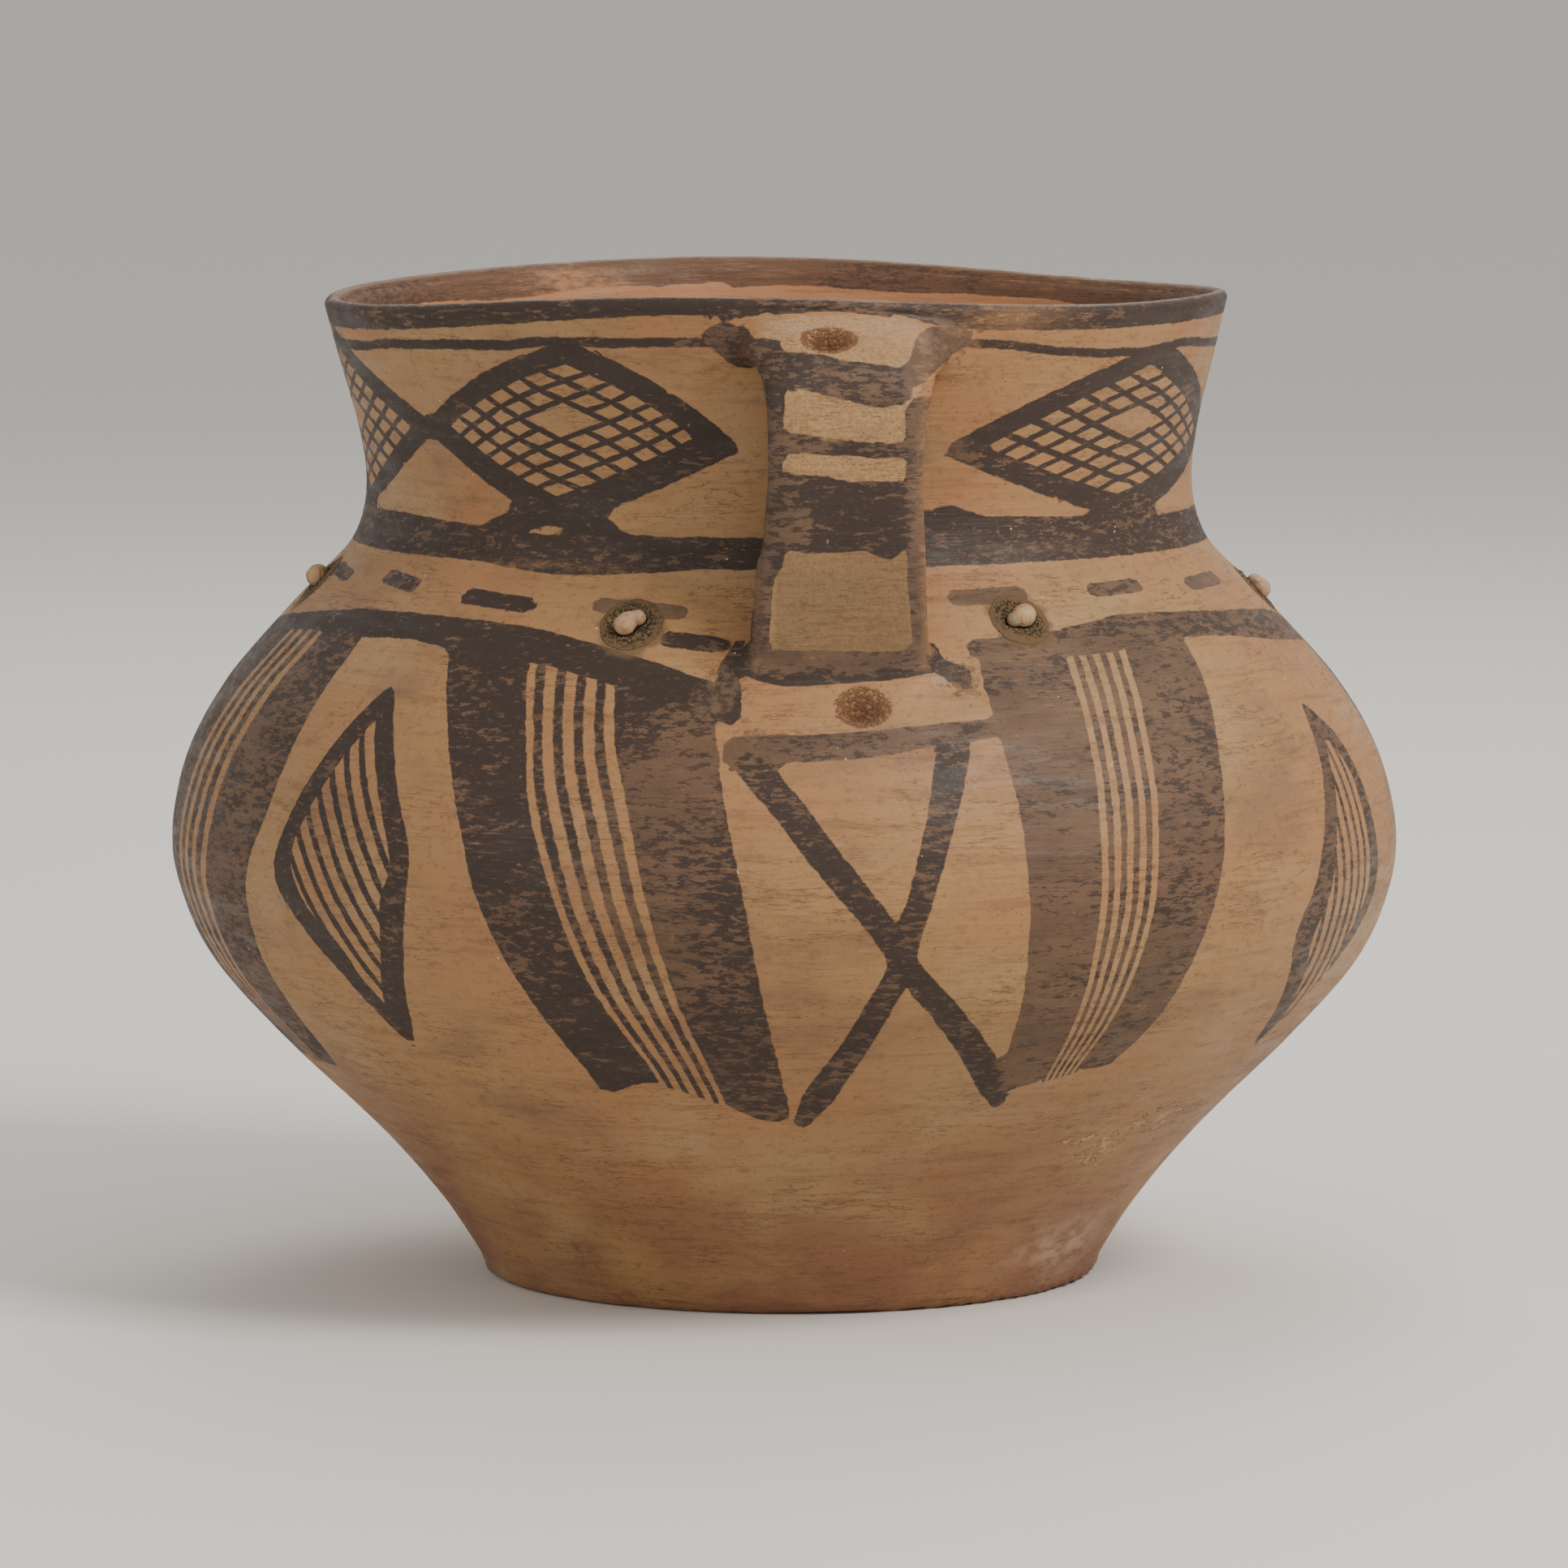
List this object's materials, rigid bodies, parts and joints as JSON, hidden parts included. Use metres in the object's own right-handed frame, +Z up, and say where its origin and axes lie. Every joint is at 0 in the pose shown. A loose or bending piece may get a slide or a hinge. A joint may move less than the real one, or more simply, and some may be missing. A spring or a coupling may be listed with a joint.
{
  "type": "two-handled jar",
  "caption": "Wide-mouthed painted earthenware jar with a flaring neck, round shoulder, narrow flat foot, strap handles from rim to shoulder and bone studs set in mastic.",
  "frame": {"origin": "on the ground, under the middle of the belly", "axes": "+Z up along the jar's axis, -Y towards the front handle, +X to the right when the front handle is seen"},
  "size_m": [0.1898, 0.1898, 0.1547],
  "materials": {
    "painted_earthenware": "burnished buff clay with worn dark brown painting",
    "bone": "worn cream bone",
    "mastic": "dark granular natural mastic"
  },
  "bodies": {
    "root": {"jar": "painted_earthenware", "mastic_bed_1": "mastic", "mastic_bed_2": "mastic", "mastic_bed_3": "mastic", "mastic_bed_4": "mastic", "mastic_bed_5": "mastic", "mastic_bed_6": "mastic", "bone_stud_1": "bone", "bone_stud_2": "bone", "bone_stud_3": "bone", "bone_stud_4": "bone", "bone_stud_5": "bone", "bone_stud_6": "bone"}
  },
  "joints": []
}
